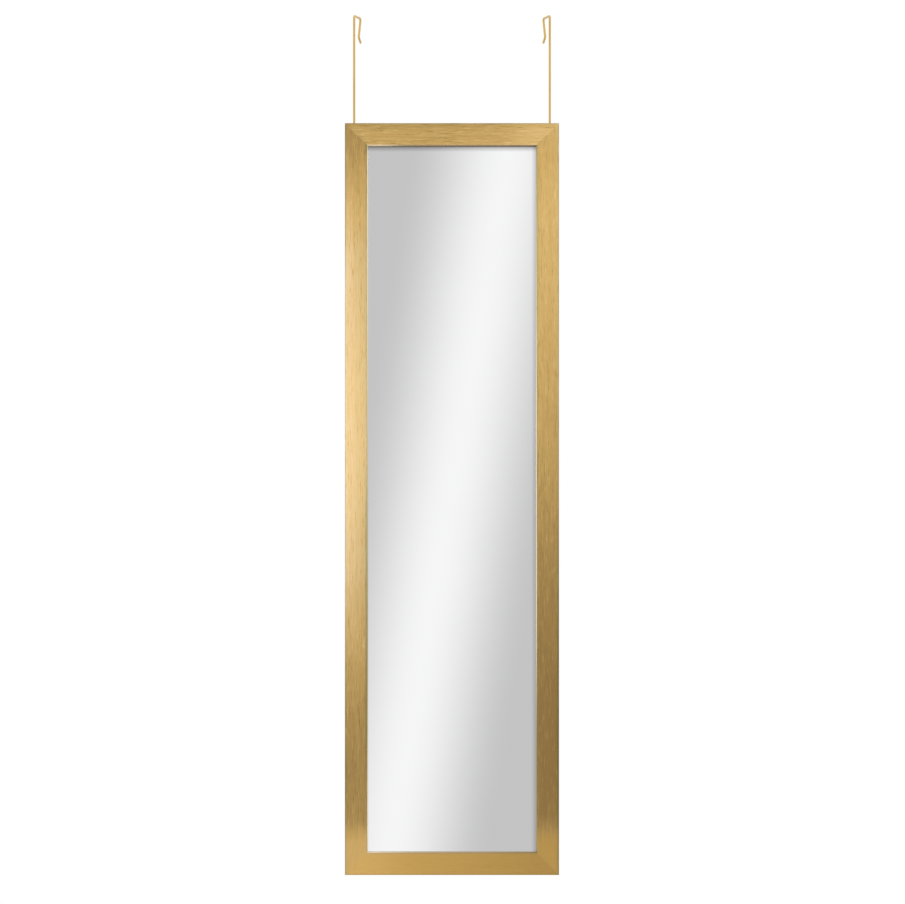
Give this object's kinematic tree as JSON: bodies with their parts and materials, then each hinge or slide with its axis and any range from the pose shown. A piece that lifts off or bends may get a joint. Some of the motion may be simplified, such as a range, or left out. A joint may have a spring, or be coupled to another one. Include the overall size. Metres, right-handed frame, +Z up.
{
  "type": "over-the-door mirror",
  "caption": "Tall rectangular mirror in a flat mitred gold-foil frame, hung over a door's top edge by swivelling bent-wire hooks held in pressed plates on its back.",
  "frame": {"origin": "middle of the door's top edge that carries the hooks: midway between the hooks, level with the underside of their bridges, on the plane of the door's face where the bumpers rest", "axes": "+X to the right of someone looking at the mirror, +Y into the door (the mirror faces -Y), +Z up"},
  "size_m": [0.364, 0.0691, 1.4647],
  "materials": {
    "gold_foil_moulding": "satin",
    "bright_steel": "satin",
    "silvered_glass": "polished",
    "hardboard": "matte",
    "plated_steel": "satin",
    "gold_wire": "satin",
    "black_rubber": "matte"
  },
  "bodies": {
    "mirror": {"frame_top_rail": "gold_foil_moulding", "frame_bottom_rail": "gold_foil_moulding", "frame_left_stile": "gold_foil_moulding", "frame_right_stile": "gold_foil_moulding", "corner_v_nails": "bright_steel", "mirror_glass": "silvered_glass", "backing_board": "hardboard", "retaining_points": "bright_steel", "hanger_plate_left": "plated_steel", "hanger_plate_right": "plated_steel", "hanger_screws_left": "plated_steel", "hanger_screws_right": "plated_steel", "bumper_top_left": "black_rubber", "bumper_top_right": "black_rubber", "bumper_bottom_left": "black_rubber", "bumper_bottom_right": "black_rubber", "bumper_screws": "plated_steel"},
    "left_hook": {"hook_left": "gold_wire"},
    "right_hook": {"hook_right": "gold_wire"}
  },
  "joints": [
    {"name": "left_hook_swivel", "type": "hinge", "parent": "mirror", "child": "left_hook", "pos_m": [-0.1668, -0.0038, -0.2295], "axis": [0, 0, -1], "range_deg": [-12, 168]},
    {"name": "right_hook_swivel", "type": "hinge", "parent": "mirror", "child": "right_hook", "pos_m": [0.1668, -0.0038, -0.2295], "axis": [0, 0, 1], "range_deg": [-12, 168]}
  ]
}
